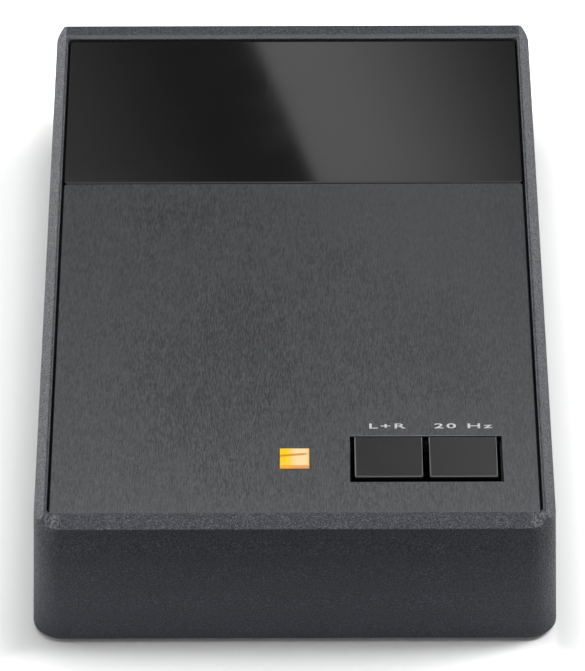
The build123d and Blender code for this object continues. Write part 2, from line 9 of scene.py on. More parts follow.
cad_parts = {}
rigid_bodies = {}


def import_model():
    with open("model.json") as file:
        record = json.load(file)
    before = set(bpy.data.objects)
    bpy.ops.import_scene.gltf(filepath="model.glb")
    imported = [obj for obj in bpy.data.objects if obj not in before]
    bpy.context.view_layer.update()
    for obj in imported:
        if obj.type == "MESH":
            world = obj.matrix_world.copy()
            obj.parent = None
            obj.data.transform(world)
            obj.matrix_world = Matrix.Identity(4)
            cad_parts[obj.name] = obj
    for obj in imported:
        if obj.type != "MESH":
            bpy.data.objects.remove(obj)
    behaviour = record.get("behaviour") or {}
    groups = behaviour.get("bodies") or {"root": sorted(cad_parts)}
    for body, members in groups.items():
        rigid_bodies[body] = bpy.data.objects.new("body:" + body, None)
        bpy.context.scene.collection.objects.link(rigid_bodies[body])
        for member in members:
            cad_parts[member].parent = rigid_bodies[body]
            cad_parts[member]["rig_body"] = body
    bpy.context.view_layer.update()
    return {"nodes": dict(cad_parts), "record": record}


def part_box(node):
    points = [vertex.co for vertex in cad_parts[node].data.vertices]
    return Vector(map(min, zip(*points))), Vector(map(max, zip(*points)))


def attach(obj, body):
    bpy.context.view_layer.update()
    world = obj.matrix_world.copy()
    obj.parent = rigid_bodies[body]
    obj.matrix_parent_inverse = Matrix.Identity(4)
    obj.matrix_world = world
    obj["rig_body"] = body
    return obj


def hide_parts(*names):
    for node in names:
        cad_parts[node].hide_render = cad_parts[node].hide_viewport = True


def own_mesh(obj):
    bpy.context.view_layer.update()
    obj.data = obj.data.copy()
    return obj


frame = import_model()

bl_info = {
    "name": "Phono preamplifier",
    "version": (1, 0, 0),
    "blender": (4, 5, 0),
    "location": "3D View > Sidebar > Preamplifier",
    "description": "Dresses the packed preamplifier with its coatings, plates, keys, lettering and stage",
    "category": "Object",
}

MM = 0.001
SIDES = ("left", "right")
PANEL_GAP = 0.6 * MM  # from a panel's solid to the rim round it
MERGE = 0.0005 * MM  # vertices closer than this are one
UPRIGHT = (1.0, 1.0, 0.0)  # the scale of a pattern that is the same at every height
WHITE = (1.0, 1.0, 1.0)


# ---------------------------------------------------------------- settings
def colour(name, description, default):
    """A colour setting."""
    return FloatVectorProperty(name=name, description=description, default=default,
                               size=3, min=0.0, max=1.0, subtype="COLOR")


def length(name, description, millimetres):
    """A length setting."""
    return FloatProperty(name=name, description=description, default=millimetres * MM,
                         min=0.0, unit="LENGTH", precision=5)


def share(name, description, default):
    """A setting from 0 to 1."""
    return FloatProperty(name=name, description=description, default=default,
                         min=0.0, max=1.0, subtype="FACTOR")


def power(name, description, watts):
    """A setting of a lamp's power."""
    return FloatProperty(name=name, description=description, default=watts, min=0.0, unit="POWER")


def brightness(name, description, default):
    """A setting from 0 up."""
    return FloatProperty(name=name, description=description, default=default, min=0.0)


class CoatSettings(bpy.types.PropertyGroup):
    colour: colour("Colour", "Colour of the powder coat", (0.012, 0.0138, 0.02))
    sparkle: colour("Sparkle", "Colour of the coat's light grains", (0.072, 0.081, 0.097))
    # Painted highlight and wear: this colour paints the light line on the lip behind the window and the front
    # corners.
    highlight_and_wear: colour("Rubbed", "Colour of the coat where it is rubbed thin", (0.075, 0.078, 0.084))
    # Painted light: the paler colour at the foot of the walls stands for light from the floor.
    foot: colour("Foot", "Colour of the coat towards the foot of the walls", (0.076, 0.08, 0.092))
    grain: length("Grain", "Size of the coat's sand grain", 0.42)
    roughness: share("Roughness", "Roughness of the coat", 0.42)
    softness: length("Edge softness", "Radius that the coat gives the case's edges", 0.11)
    lip: length("Lip", "Width of the bevel inside the rim", 0.2)
    rear_lip: length("Rear lip", "Width of that bevel behind the window", 0.66)
    front_lip: length("Front lip", "Width of that bevel in front of the plate", 0.06)


class PlateSettings(bpy.types.PropertyGroup):
    colour: colour("Colour", "Colour of the anodised aluminium", (0.084, 0.086, 0.09))
    brush: length("Brush", "Spacing of the brush lines", 0.13)
    roughness: share("Roughness", "Roughness across the brush lines", 0.15)
    edge: length("Edge", "Width of the plate's broken edges", 0.1)
    spread: length("Spread", "How far plate and window reach past their solids at the sides", 0.25)
    left_room: length("Room at the left", "What the plate gives up at the left of the keys", 0.12)
    right_room: length("Room at the right", "What the plate gives up at the right of the keys", 0.3)


class WindowSettings(bpy.types.PropertyGroup):
    colour: colour("Colour", "Colour of the window", (0.0035, 0.0035, 0.004))
    roughness: share("Roughness", "Roughness of the polished face", 0.03)
    edge: length("Edge", "Width of the window's polished edges", 0.12)


class KeySettings(bpy.types.PropertyGroup):
    colour: colour("Colour", "Colour of the keys", (0.006, 0.006, 0.0065))
    roughness: share("Roughness", "Roughness of the keys' tops", 0.1)
    edge: length("Edge", "Radius of the keys' edges", 0.15)


class LampSettings(bpy.types.PropertyGroup):
    colour: colour("Colour", "Colour of the lit lens", (0.85, 0.55, 0.003))
    core: colour("Core", "Colour where the lamp shows through", (0.86, 0.64, 0.35))
    strength: brightness("Strength", "Brightness of the lit lens", 0.95)


class LetteringSettings(bpy.types.PropertyGroup):
    left_key: StringProperty(name="Left key", description="Mark over the left key", default="L+R")
    right_key: StringProperty(name="Right key", description="Mark over the right key", default="20 Hz")
    height: length("Height", "Height of the marks over the keys", 1.38)
    rise: length("Rise", "From a key's rear edge to the middle of its mark", 3.525)
    rear_height: length("Rear height", "Height of the marks at the rear", 1.7)
    word_rise: length("Word rise", "From a pair of sockets to the middle of its word", 5.4)
    letter_rise: length("Letter rise", "From a socket to the middle of its letter", 2.7)
    thickness: length("Thickness", "Thickness of the ink", 0.012)
    lift: length("Lift", "How far the ink stands off its face", 0.002)
    colour: colour("Colour", "Colour of the ink", (0.45, 0.46, 0.47))


class SocketSettings(bpy.types.PropertyGroup):
    gold: colour("Gold", "Colour of the plated shells", (0.83, 0.6, 0.24))
    nickel: colour("Nickel", "Colour of the nickel plating", (0.62, 0.6, 0.57))
    red: colour("Red", "Colour of the right channel's plugs", (0.45, 0.012, 0.012))
    white: colour("White", "Colour of the left channel's plugs and the levers", (0.75, 0.74, 0.7))


class StageSettings(bpy.types.PropertyGroup):
    floor: colour("Floor", "Colour that the floor gives back in front and behind", (0.3, 0.3, 0.3))
    flanks: colour("Flanks", "Colour that the floor gives back at the sides", (0.9, 0.9, 0.9))
    overhead: power("Overhead", "Power of the lamp overhead", 11.0)
    right: power("Right", "Power of the lamp at the right", 12.0)
    left: power("Left", "Power of the lamp at the left", 3.5)
    front: power("Front", "Power of the low lamp in front", 2.0)
    room: brightness("Room", "Light that the room adds all round", 0.15)
    lens: FloatProperty(name="Lens", description="Focal length of the camera", default=276.5,
                        min=1.0, subtype="DISTANCE_CAMERA")


class PreampSettings(bpy.types.PropertyGroup):
    coat: PointerProperty(type=CoatSettings)
    plate: PointerProperty(type=PlateSettings)
    window: PointerProperty(type=WindowSettings)
    key: PointerProperty(type=KeySettings)
    lamp: PointerProperty(type=LampSettings)
    lettering: PointerProperty(type=LetteringSettings)
    socket: PointerProperty(type=SocketSettings)
    stage: PointerProperty(type=StageSettings)


# ---------------------------------------------------------------- shader maths
class Value:
    """An output socket. Arithmetic on it adds Math nodes."""

    def __init__(self, graph, output):
        self.graph = graph
        self.output = output

    def maths(self, operation, first, second):
        return self.graph.node("ShaderNodeMath", {"operation": operation}, {0: first, 1: second})

    def __add__(self, other):
        return self.maths("ADD", self, other)

    def __sub__(self, other):
        return self.maths("SUBTRACT", self, other)

    def __rsub__(self, other):
        return self.maths("SUBTRACT", other, self)

    def __mul__(self, other):
        return self.maths("MULTIPLY", self, other)

    def __truediv__(self, other):
        return self.maths("DIVIDE", self, other)

    def __abs__(self):
        return self.maths("ABSOLUTE", self, 0.0)

    def at_least(self, other):
        """The larger of this and another value."""
        return self.maths("MAXIMUM", self, other)

    __radd__ = __add__
    __rmul__ = __mul__


class Graph:
    """A node tree under construction."""

    def __init__(self, tree):
        self.tree = tree
        tree.nodes.clear()

    def node(self, kind, settings=None, inputs=None, output=0):
        """Add a node: its settings first, then its sockets' values or links."""
        made = self.tree.nodes.new(kind)
        for key, value in (settings or {}).items():
            setattr(made, key, value)
        for key, value in (inputs or {}).items():
            socket = made.inputs[key]
            if isinstance(value, Value):
                self.tree.links.new(value.output, socket)
            elif socket.type == "RGBA" and len(value) == 3:
                socket.default_value = (*value, 1.0)
            else:
                socket.default_value = value
        return Value(self, made.outputs[output]) if len(made.outputs) else None

    def place(self, scale=(1.0, 1.0, 1.0), turn=(0.0, 0.0, 0.0), shift=(0.0, 0.0, 0.0)):
        """The piece's own coordinates, scaled, turned and shifted."""
        where = self.node("ShaderNodeTexCoord", output="Object")
        return self.node("ShaderNodeMapping", inputs={
            "Vector": where, "Location": shift, "Rotation": turn, "Scale": scale})

    def along(self, axis):
        """One of the piece's own coordinates, in metres."""
        where = self.node("ShaderNodeTexCoord", output="Object")
        return self.node("ShaderNodeSeparateXYZ", inputs={0: where}, output=axis)

    def noise(self, vector, scale, detail=2.0, roughness=0.5):
        """Soft noise from 0 to 1, mostly near a half."""
        return self.node("ShaderNodeTexNoise", inputs={
            "Vector": vector, "Scale": scale, "Detail": detail, "Roughness": roughness})

    def grains(self, vector, scale):
        """The distance from the middle of the nearest of scattered cells."""
        return self.node("ShaderNodeTexVoronoi", inputs={"Vector": vector, "Scale": scale}, output="Distance")

    def step(self, value, low, high, to_low=0.0, to_high=1.0):
        """A smooth step of a value between two levels."""
        return self.node("ShaderNodeMapRange", {"interpolation_type": "SMOOTHSTEP"}, {
            "Value": value, "From Min": low, "From Max": high, "To Min": to_low, "To Max": to_high})

    def mix(self, factor, first, second):
        """A mix of two colours."""
        return self.node("ShaderNodeMix", {"data_type": "RGBA"}, {
            "Factor": factor, 6: first, 7: second}, output=2)

    def shade(self, first, second):
        """A colour times a grey value."""
        return self.node("ShaderNodeVectorMath", {"operation": "SCALE"}, {0: first, "Scale": second})

    def dot(self, first, second):
        """How far a direction goes along another one."""
        return self.node("ShaderNodeVectorMath", {"operation": "DOT_PRODUCT"}, {0: first, 1: second},
                         output="Value")

    def ray(self, kind):
        """1 for rays of a kind, such as Camera or Glossy, else 0."""
        return self.node("ShaderNodeLightPath", output=f"Is {kind} Ray")

    def bump(self, height, distance, strength):
        """A normal tilted by a height over the surface."""
        return self.node("ShaderNodeBump", inputs={
            "Height": height, "Distance": distance, "Strength": strength})


def between(amount, first, second):
    """A mix of two values, which is the second one where the amount is 1."""
    return first * (1.0 - amount) + second * amount


def finish(name, build, **fixed):
    """A material whose build(graph) gives the varying inputs of its shader; the rest is fixed."""
    material = bpy.data.materials.new(name)
    material.use_nodes = True
    graph = Graph(material.node_tree)
    inputs = {key.replace("_", " "): value for key, value in fixed.items()}
    inputs.update(build(graph))
    surface = graph.node("ShaderNodeBsdfPrincipled", inputs=inputs)
    graph.node("ShaderNodeOutputMaterial", inputs={"Surface": surface})
    return material


def tinted(base, change):
    """A colour made lighter by a share of itself, or darker by a negative one."""
    return tuple(max(0.0, c * (1.0 + change)) for c in base)


# ---------------------------------------------------------------- finishes
def powder_coat(name, base, sparkle, grain, roughness, wear_and_painted_light=None):
    """Sand-textured powder coat: fine grains, a few of them light, over a soft mottle.

    The given function adds wear and painted light: from (graph, tone, rough) it gives the new tone and
    roughness.
    """
    def build(graph):
        where = graph.place()
        sand = graph.noise(where, 1.0 / grain, 2.0, 0.6)
        fine = graph.noise(where, 1.7 / grain, 1.0)
        mottle = graph.noise(where, 90.0, 3.0) * 0.5 + graph.noise(where, 0.35 / grain, 1.0) * 0.5
        tone = graph.mix(graph.step(mottle, 0.38, 0.62), tinted(base, -0.2), tinted(base, 0.2))
        tone = graph.mix(graph.step(sand, 0.38, 0.58), tinted(base, -0.6), tone)
        tone = graph.mix(graph.step(fine, 0.52, 0.68), tone, sparkle)
        rough = graph.step(sand, 0.35, 0.65, roughness + 0.16, roughness - 0.12)
        if wear_and_painted_light:
            tone, rough = wear_and_painted_light(graph, tone, rough)
        return {
            "Base Color": tone,
            "Roughness": rough,
            "Normal": graph.bump(sand + fine * 0.4, grain * 0.45, 1.0),
        }
    return finish(name, build)


def case_wear_and_painted_light(coat):
    """How the case's coat changes over it.

    It is painted paler towards the foot of the walls, as light from the floor would make it, and painted dark
    in the channel round the panels, where shade falls. A painted highlight lies along the lip behind the
    window, and the front corners are scratched through and painted lighter where they catch the light.
    """
    low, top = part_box("case")
    plate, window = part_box("top_plate"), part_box("window_panel")
    fade = 0.1 * MM
    wall_top, wall_foot = top.z - 2.0 * MM, low.z + 2.0 * MM
    half_width, front, rear = plate[1].x + PANEL_GAP, plate[0].y - PANEL_GAP, window[1].y + PANEL_GAP
    deck, thin, thick = plate[0].z - 0.2 * MM, plate[1].z - 0.35 * MM, plate[1].z + fade
    lip, lip_fade = 0.6 * MM, 0.15 * MM
    corner = Vector((half_width - 1.0 * MM, plate[0].y - 1.6 * MM))
    scuff_core, scuff_end = 0.3 * MM, 2.0 * MM
    scuff_low, scuff_high = top.z - 2.8 * MM, top.z - 2.0 * MM

    def wear_and_painted_light(graph, tone, rough):
        x, y, z = (graph.along(axis) for axis in range(3))
        across = abs(x)

        # Painted light from the floor: paler from below the cut round the top down to the foot.
        foot = graph.step(z, wall_top, wall_foot) * graph.step(z, wall_top + fade, wall_top - 3 * fade)
        tone = graph.mix(foot, tone, graph.mix(0.4, coat.foot, graph.shade(tone, 2.4)))

        # Painted shade: dark and rougher in the channel, from the panels' faces down to the deck.
        inside = graph.step(across, half_width, half_width + fade, 1.0, 0.0)
        inside = inside * graph.step(y, front - fade, front) * graph.step(y, rear + fade, rear)
        channel = inside * graph.step(z, thick, thin) * graph.step(z, deck - 3 * fade, deck)
        tone = graph.mix(channel, tone, tinted(coat.colour, -0.85))

        # Painted highlight: a pale line on the lip behind the window.
        behind = y - rear
        highlight_and_wear = graph.step(behind, lip, lip + lip_fade, 1.0, 0.0) * graph.step(behind, -fade, 0.0)
        highlight_and_wear = highlight_and_wear * graph.step(z, top.z - lip - lip_fade, top.z - lip)
        tone = graph.mix(highlight_and_wear * 0.8, tone, coat.highlight_and_wear)

        # Scratched through at the front corners, and painted lighter there as a highlight.
        scratch = graph.noise(graph.place((2600.0, 1100.0, 1900.0), (0.0, 0.0, 0.7)), 1.0, 2.0)
        off_x, off_y = across - corner.x, y - corner.y
        scuff = graph.step(off_x * off_x + off_y * off_y, scuff_end ** 2, scuff_core ** 2)
        scuff = scuff * graph.step(z, scuff_low, scuff_high) * graph.step(scratch, 0.42, 0.66)
        tone = graph.mix(scuff, tone, tinted(coat.highlight_and_wear, 0.9))
        return tone, rough + channel * 0.5
    return wear_and_painted_light


def brushed_plate(name, base, brush, roughness):
    """Black anodised aluminium, brushed from front to rear."""
    # The shift takes the face off the noise's lattice, where the noise is flat.
    off = (0.0, 0.0, 0.37)

    def build(graph):
        lines = graph.noise(graph.place((1.0 / brush, 0.09 / brush, 1.0), shift=off), 1.0, 2.0, 0.6)
        hair = graph.noise(graph.place((2.3 / brush, 0.26 / brush, 1.0), shift=off), 1.0, 1.0)
        bands = graph.noise(graph.place((420.0, 6.0, 1.0), shift=off), 1.0, 2.0)
        tone = graph.mix(graph.step(lines * 0.5 + hair * 0.5, 0.38, 0.62),
                         tinted(base, -0.18), tinted(base, 0.2))
        tone = graph.mix(graph.step(bands, 0.3, 0.7, 0.0, 0.1), tone, tinted(base, -0.2))
        return {
            "Base Color": tone,
            "Roughness": graph.step(lines, 0.35, 0.65, roughness - 0.03, roughness + 0.06),
            "Normal": graph.bump(lines * 0.6 + hair * 0.4, brush * 0.05, 0.4),
        }
    return finish(name, build, Metallic=0.9)


def polished(name, base, roughness):
    """A glossy moulding or sheet with faint handling marks."""
    def build(graph):
        marks = graph.noise(graph.place(), 45.0, 5.0, 0.6)
        scuff = graph.noise(graph.place((900.0, 60.0, 60.0), (0.0, 0.0, 0.6)), 1.0, 3.0)
        tone = graph.mix(graph.step(marks, 0.4, 0.75), base, tinted(base, 0.25))
        rough = graph.step(marks, 0.45, 0.8, roughness, roughness * 1.25 + 0.008)
        return {
            "Base Color": tone,
            "Roughness": rough + graph.step(scuff, 0.62, 0.8, 0.0, 0.02),
        }
    return finish(name, build, IOR=1.49)


def moulded(name, base, roughness, grain=0.25 * MM, relief=0.012 * MM):
    """A matt moulding with a fine spark-eroded grain."""
    def build(graph):
        skin = graph.noise(graph.place(), 1.0 / grain, 3.0, 0.6)
        wash = graph.noise(graph.place(), 120.0, 2.0)
        tone = graph.mix(graph.step(wash, 0.3, 0.7), tinted(base, -0.08), tinted(base, 0.1))
        return {
            "Base Color": tone,
            "Roughness": graph.step(skin, 0.3, 0.7, roughness - 0.05, roughness + 0.07),
            "Normal": graph.bump(skin, relief, 0.6),
        }
    return finish(name, build)


def plated(name, base, roughness):
    """Turned and plated metal, with fine tool marks and a slight tarnish."""
    pitch, depth = 0.09 * MM, 0.004 * MM

    def build(graph):
        turned = graph.noise(graph.place((30.0, 1.0 / pitch, 30.0)), 1.0, 2.0)
        tarnish = graph.noise(graph.place(), 420.0, 4.0, 0.6)
        tone = graph.mix(graph.step(tarnish, 0.45, 0.75), base, tinted(base, -0.22))
        return {
            "Base Color": tone,
            "Roughness": graph.step(tarnish, 0.35, 0.75, roughness, roughness + 0.12),
            "Normal": graph.bump(turned, depth, 0.35),
        }
    return finish(name, build, Metallic=1.0)


def lit_lens(name, base, core, strength):
    """The amber light pipe, lit from below: pale to the right, with internal glints and dark edges."""
    low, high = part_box("lamp_lens")
    middle = (low + high) / 2
    # The box is that of the flange under the deck, and the face is smaller.
    half = 2.9 * MM
    glint, warm, slit = (0.93, 0.76, 0.3), (0.86, 0.5, 0.06), (0.56, 0.19, 0.006)
    front, front_core = (0.82, 0.33, 0.01), (0.62, 0.27, 0.05)
    outline, unlit = (0.1, 0.035, 0.01), (0.02, 0.008, 0.0)

    def build(graph):
        across = (graph.along(0) - middle.x) / half
        deep = (graph.along(1) - middle.y) / half
        pale = graph.step(across, -0.6, 0.3)
        tone = graph.mix(pale, base, core)
        flecks = graph.step(graph.noise(graph.place((900.0, 320.0, 1.0)), 1.0, 3.0), 0.5, 0.8)
        tone = graph.mix(flecks * 0.4, tone, glint)
        tone = graph.mix(graph.step(across, 0.8, 0.9) * 0.7, tone, warm)
        slant = deep - across * 0.1 - 0.33
        streak = graph.step(slant * slant, 0.0, 0.02, 1.0, 0.0) * graph.step(across, 1.0, 0.6)
        tone = graph.mix(streak * 0.85, tone, slit)
        tone = graph.mix(graph.step(deep, -0.62, -0.74) * 0.85, tone, graph.mix(pale, front, front_core))
        edge = abs(across).at_least(abs(deep))
        tone = graph.mix(graph.step(edge, 0.93, 1.0) * 0.92, tone, outline)
        return {"Base Color": graph.mix(0.85, tone, unlit), "Emission Color": tone}
    return finish(name, build, Roughness=0.08, IOR=1.49, Specular_IOR_Level=0.2, Emission_Strength=strength)


def solder_mask(name):
    """Green solder mask over fibreglass weave, lighter where copper lies under it."""
    def build(graph):
        weave = graph.node("ShaderNodeTexWave", {"bands_direction": "X"}, {
            "Vector": graph.place(), "Scale": 300.0, "Distortion": 0.0})
        runs = graph.grains(graph.place(UPRIGHT), 260.0)
        tone = graph.mix(graph.step(runs, 0.25, 0.45), (0.012, 0.075, 0.03), (0.008, 0.05, 0.02))
        return {
            "Base Color": graph.mix(weave * 0.15, tone, (0.02, 0.11, 0.045)),
            "Normal": graph.bump(graph.step(runs, 0.3, 0.4), 0.03 * MM, 0.5),
        }
    return finish(name, build, Roughness=0.3)


def striped_sleeve(name):
    """A capacitor's shrink sleeve, dark with a pale stripe up one side."""
    def build(graph):
        wrinkle = graph.noise(graph.place((500.0, 500.0, 120.0)), 1.0, 2.0)
        band = graph.step(graph.grains(graph.place(UPRIGHT), 90.0), 0.42, 0.46)
        return {
            "Base Color": graph.mix(band * 0.5, (0.02, 0.027, 0.06), (0.25, 0.26, 0.3)),
            "Normal": graph.bump(wrinkle, 0.05 * MM, 0.4),
        }
    return finish(name, build, Roughness=0.35)


def banded_body(name):
    """A resistor's lacquered body with rings round it."""
    def build(graph):
        rings = graph.node("ShaderNodeTexWave", {"bands_direction": "Y"}, {
            "Vector": graph.place(), "Scale": 150.0, "Distortion": 0.4, "Detail": 1.0})
        return {
            "Base Color": graph.mix(graph.step(rings, 0.75, 0.85), (0.16, 0.32, 0.46), (0.35, 0.12, 0.03)),
        }
    return finish(name, build, Roughness=0.3)


# ---------------------------------------------------------------- pieces
def dress(names, material):
    """Give CAD nodes that are shown as they are a finish."""
    for name in names:
        mesh = frame["nodes"][name].data
        mesh.materials.clear()
        mesh.materials.append(material)


def record_slot(node):
    """The record's finish of a node."""
    for part in frame["record"]["subparts"]:
        if part["node"] == node:
            return part["material_slot"]
    raise KeyError(node)


def body_of(node):
    """The body that carries a node."""
    return frame["nodes"][node]["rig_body"]


def piece(node, name, bm, material, weighted=True):
    """Finish a bmesh as a piece that rides with a CAD node, and look up the node's slot in the record."""
    mesh = bpy.data.meshes.new(name)
    bm.to_mesh(mesh)
    bm.free()
    mesh.materials.append(material)
    for polygon in mesh.polygons:
        polygon.use_smooth = True
    mesh.set_sharp_from_angle(angle=radians(35.0))
    made = bpy.data.objects.new(name, mesh)
    bpy.context.scene.collection.objects.link(made)
    if weighted:
        normals = made.modifiers.new("Weighted normals", "WEIGHTED_NORMAL")
        normals.keep_sharp = True
    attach(made, body_of(node))
    record_slot(node)
    return made


def stand_in(node, name, bm, material, weighted=True):
    """Finish a bmesh as the piece that takes a CAD node's place."""
    made = piece(node, name, bm, material, weighted)
    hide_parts(node)
    return made


def copy_of(node, turned=False, halved=False):
    """A CAD node's solid as a merged bmesh.

    Its flat faces are joined. One face can't be a ring, so a turned solid's faces stay small, and a solid
    whose rings cross its middle plane is halved there.
    """
    bm = bmesh.new()
    bm.from_mesh(frame["nodes"][node].data)
    bmesh.ops.remove_doubles(bm, verts=bm.verts, dist=MERGE)
    flat = radians(0.4)
    if turned:
        bmesh.ops.join_triangles(bm, faces=bm.faces, angle_face_threshold=flat,
                                 angle_shape_threshold=radians(60.0))
        return bm
    joints = list(bm.edges)
    if halved:
        bmesh.ops.bisect_plane(bm, geom=bm.verts[:] + bm.edges[:] + bm.faces[:], dist=MERGE,
                               plane_co=(0.0, 0.0, 0.0), plane_no=(1.0, 0.0, 0.0))
        joints = [edge for edge in bm.edges if max(abs(v.co.x) for v in edge.verts) > 2 * MERGE]
    bmesh.ops.dissolve_limit(bm, angle_limit=flat, verts=bm.verts, edges=joints)
    return bm


def on_top(top):
    """A test for edges in or at a face at the top."""
    return lambda at: at.z > top - 0.1 * MM


def outer_edges(bm, angle, wanted=None):
    """The edges of a solid that turn outwards by more than an angle."""
    found = []
    for edge in bm.edges:
        if len(edge.link_faces) != 2 or not edge.is_convex or edge.calc_face_angle() < radians(angle):
            continue
        if wanted is None or wanted((edge.verts[0].co + edge.verts[1].co) / 2):
            found.append(edge)
    return found


def round_edges(bm, edges, width, segments=2):
    """Round some edges of a solid."""
    if not edges:
        raise RuntimeError("no edges to round")
    bmesh.ops.bevel(bm, geom=edges, offset=width, offset_type="OFFSET", segments=segments,
                    profile=0.5, affect="EDGES", material=-1)


def softened(node, name, material, width=0.15 * MM, wanted=None, angle=38.0, segments=2, turned=False):
    """A CAD node's shape with rounded outer edges, in place of the node."""
    bm = copy_of(node, turned)
    round_edges(bm, outer_edges(bm, angle, wanted), width, segments)
    stand_in(node, name, bm, material)


def turned_post(node, head_length, shank, pitch, depth, tip):
    """A headed post on a node's box, its shank ridged like a thread, turned about its axis."""
    low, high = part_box(node)
    middle = (low + high) / 2
    head = high.x - middle.x
    shoulder = low.y + head_length
    outline = [(0.0, low.y), (head, low.y), (head, shoulder), (shank, shoulder)]
    ridges = int((high.y - tip - shoulder) / pitch)
    last = high.y - tip
    for ridge in range(ridges, 0, -1):
        crest = last - ridge * pitch
        outline += [(shank, crest), (shank - depth, crest + pitch / 2)]
    outline += [(shank, last), (shank - tip, high.y), (0.0, high.y)]
    bm = bmesh.new()
    verts = [bm.verts.new((middle.x + radius, y, middle.z)) for radius, y in outline]
    edges = [bm.edges.new(pair) for pair in zip(verts, verts[1:])]
    bmesh.ops.spin(bm, geom=verts + edges, cent=middle, axis=(0.0, 1.0, 0.0), angle=radians(360.0),
                   steps=40, use_merge=True)
    bmesh.ops.remove_doubles(bm, verts=bm.verts, dist=MERGE)
    bmesh.ops.recalc_face_normals(bm, faces=bm.faces)
    return bm


def lettering(text, height, stretch, thickness):
    """Wide lettering of a cap height, centred, as a layer of ink on the XY plane."""
    curve = bpy.data.curves.new("lettering", "FONT")
    curve.body = text
    curve.space_character = 1.2
    curve.offset = 0.01
    curve.resolution_u = 3
    draft = bpy.data.objects.new("lettering", curve)
    bpy.context.scene.collection.objects.link(draft)
    bpy.context.view_layer.update()
    mesh = bpy.data.meshes.new_from_object(draft.evaluated_get(bpy.context.evaluated_depsgraph_get()))
    bpy.data.objects.remove(draft)
    bm = bmesh.new()
    bm.from_mesh(mesh)
    bpy.data.meshes.remove(mesh)
    xs = [v.co.x for v in bm.verts]
    ys = [v.co.y for v in bm.verts]
    scale = height / (max(ys) - min(ys))
    centre = Vector(((max(xs) + min(xs)) / 2, (max(ys) + min(ys)) / 2, 0.0))
    bmesh.ops.translate(bm, vec=-centre, verts=bm.verts)
    bmesh.ops.scale(bm, vec=(scale * stretch, scale, 1.0), verts=bm.verts)
    layer = bmesh.ops.extrude_face_region(bm, geom=bm.faces[:])["geom"]
    bmesh.ops.translate(bm, vec=(0.0, 0.0, thickness),
                        verts=[part for part in layer if isinstance(part, bmesh.types.BMVert)])
    bmesh.ops.recalc_face_normals(bm, faces=bm.faces)
    return bm


# ---------------------------------------------------------------- the object's operators
class PREAMP_OT_case(bpy.types.Operator):
    """Coat the cast case and soften its edges"""
    bl_idname = "preamp.case"
    bl_label = "Case"

    def execute(self, context):
        coat = context.scene.preamp.coat
        plate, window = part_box("top_plate"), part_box("window_panel")
        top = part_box("case")[1].z
        rim_depth, lip_depth = 4.0 * MM, 0.25 * MM
        narrow_lip_end = plate[0].y + 0.95 * MM

        def soft(at):
            """A test for the rim's edges, without those of the narrow lip in front of the plate."""
            return at.z > top - rim_depth and (at.z < top - lip_depth or at.y > narrow_lip_end)

        material = powder_coat("case_powder_coat", coat.colour, coat.sparkle, coat.grain, coat.roughness,
                               case_wear_and_painted_light(coat))
        bm = copy_of("case", halved=True)
        round_edges(bm, outer_edges(bm, 60.0, on_top(top)), coat.lip, 1)
        self.widen_lip(bm, top, coat.lip, coat.rear_lip, window[1], 1)
        self.widen_lip(bm, top, coat.lip, coat.front_lip, plate[0], -1)
        round_edges(bm, outer_edges(bm, 30.0, soft), coat.softness, 3)
        stand_in("case", "coated_case", bm, material)
        return {"FINISHED"}

    @staticmethod
    def widen_lip(bm, top, narrow, wide, panel, outwards):
        """Change the bevel inside the rim at one end, where its corners take up the difference.

        The end lies outwards, forward or rearward, of a corner of its panel.
        """
        corner_radius, near = 1.52 * MM, 0.05 * MM
        side = abs(panel.x) + PANEL_GAP + narrow + near
        arc = panel.y + outwards * (PANEL_GAP - corner_radius)
        for vert in bm.verts:
            at = vert.co
            past = (at.y - arc) * outwards
            if at.z < top - narrow - near or abs(at.x) > side:
                continue
            if not 0 < past < corner_radius + narrow + near:
                continue
            more = past / (corner_radius + narrow) * (wide - narrow)
            on_top = at.z > top - near
            bmesh.ops.translate(bm, verts=[vert],
                                vec=(0.0, outwards * more, 0.0) if on_top else (0.0, 0.0, -more))


class PREAMP_OT_panels(bpy.types.Operator):
    """Finish the brushed top plate, the gloss window and the films under them"""
    bl_idname = "preamp.panels"
    bl_label = "Plate and window"

    def execute(self, context):
        plate = context.scene.preamp.plate
        window = context.scene.preamp.window
        brushed = brushed_plate("black_brushed_aluminium", plate.colour, plate.brush, plate.roughness)
        gloss = polished("gloss_black_acrylic", window.colour, window.roughness)
        self.panel("top_plate", "brushed_top_plate", brushed, plate.edge, plate)
        self.panel("window_panel", "gloss_window", gloss, window.edge, plate)
        dress(["plate_adhesive", "window_adhesive"], moulded("adhesive_film", (0.01, 0.01, 0.01), 0.7))
        return {"FINISHED"}

    @staticmethod
    def panel(node, name, material, edge, plate):
        """A panel that nearly fills its recess from side to side, with room round the keys.

        Its sides are moved with their round corners, and so are the sides of the opening for the keys.
        """
        corner_width, opening_gap = 0.9 * MM, 1.0 * MM
        bm = copy_of(node)
        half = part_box(node)[1].x
        keys_from, keys_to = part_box("left_button_cap")[0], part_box("right_button_cap")[1]
        for vert in bm.verts:
            x, y = vert.co.x, vert.co.y
            beside = keys_from.y - opening_gap < y < keys_to.y + opening_gap
            if abs(x) > half - corner_width:
                move = plate.spread if x > 0.0 else -plate.spread
            elif beside and keys_to.x < x < keys_to.x + opening_gap:
                move = plate.right_room
            elif beside and keys_from.x - opening_gap < x < keys_from.x:
                move = -plate.left_room
            else:
                continue
            bmesh.ops.translate(bm, verts=[vert], vec=(move, 0.0, 0.0))
        round_edges(bm, outer_edges(bm, 38.0), edge, 2)
        stand_in(node, name, bm, material)


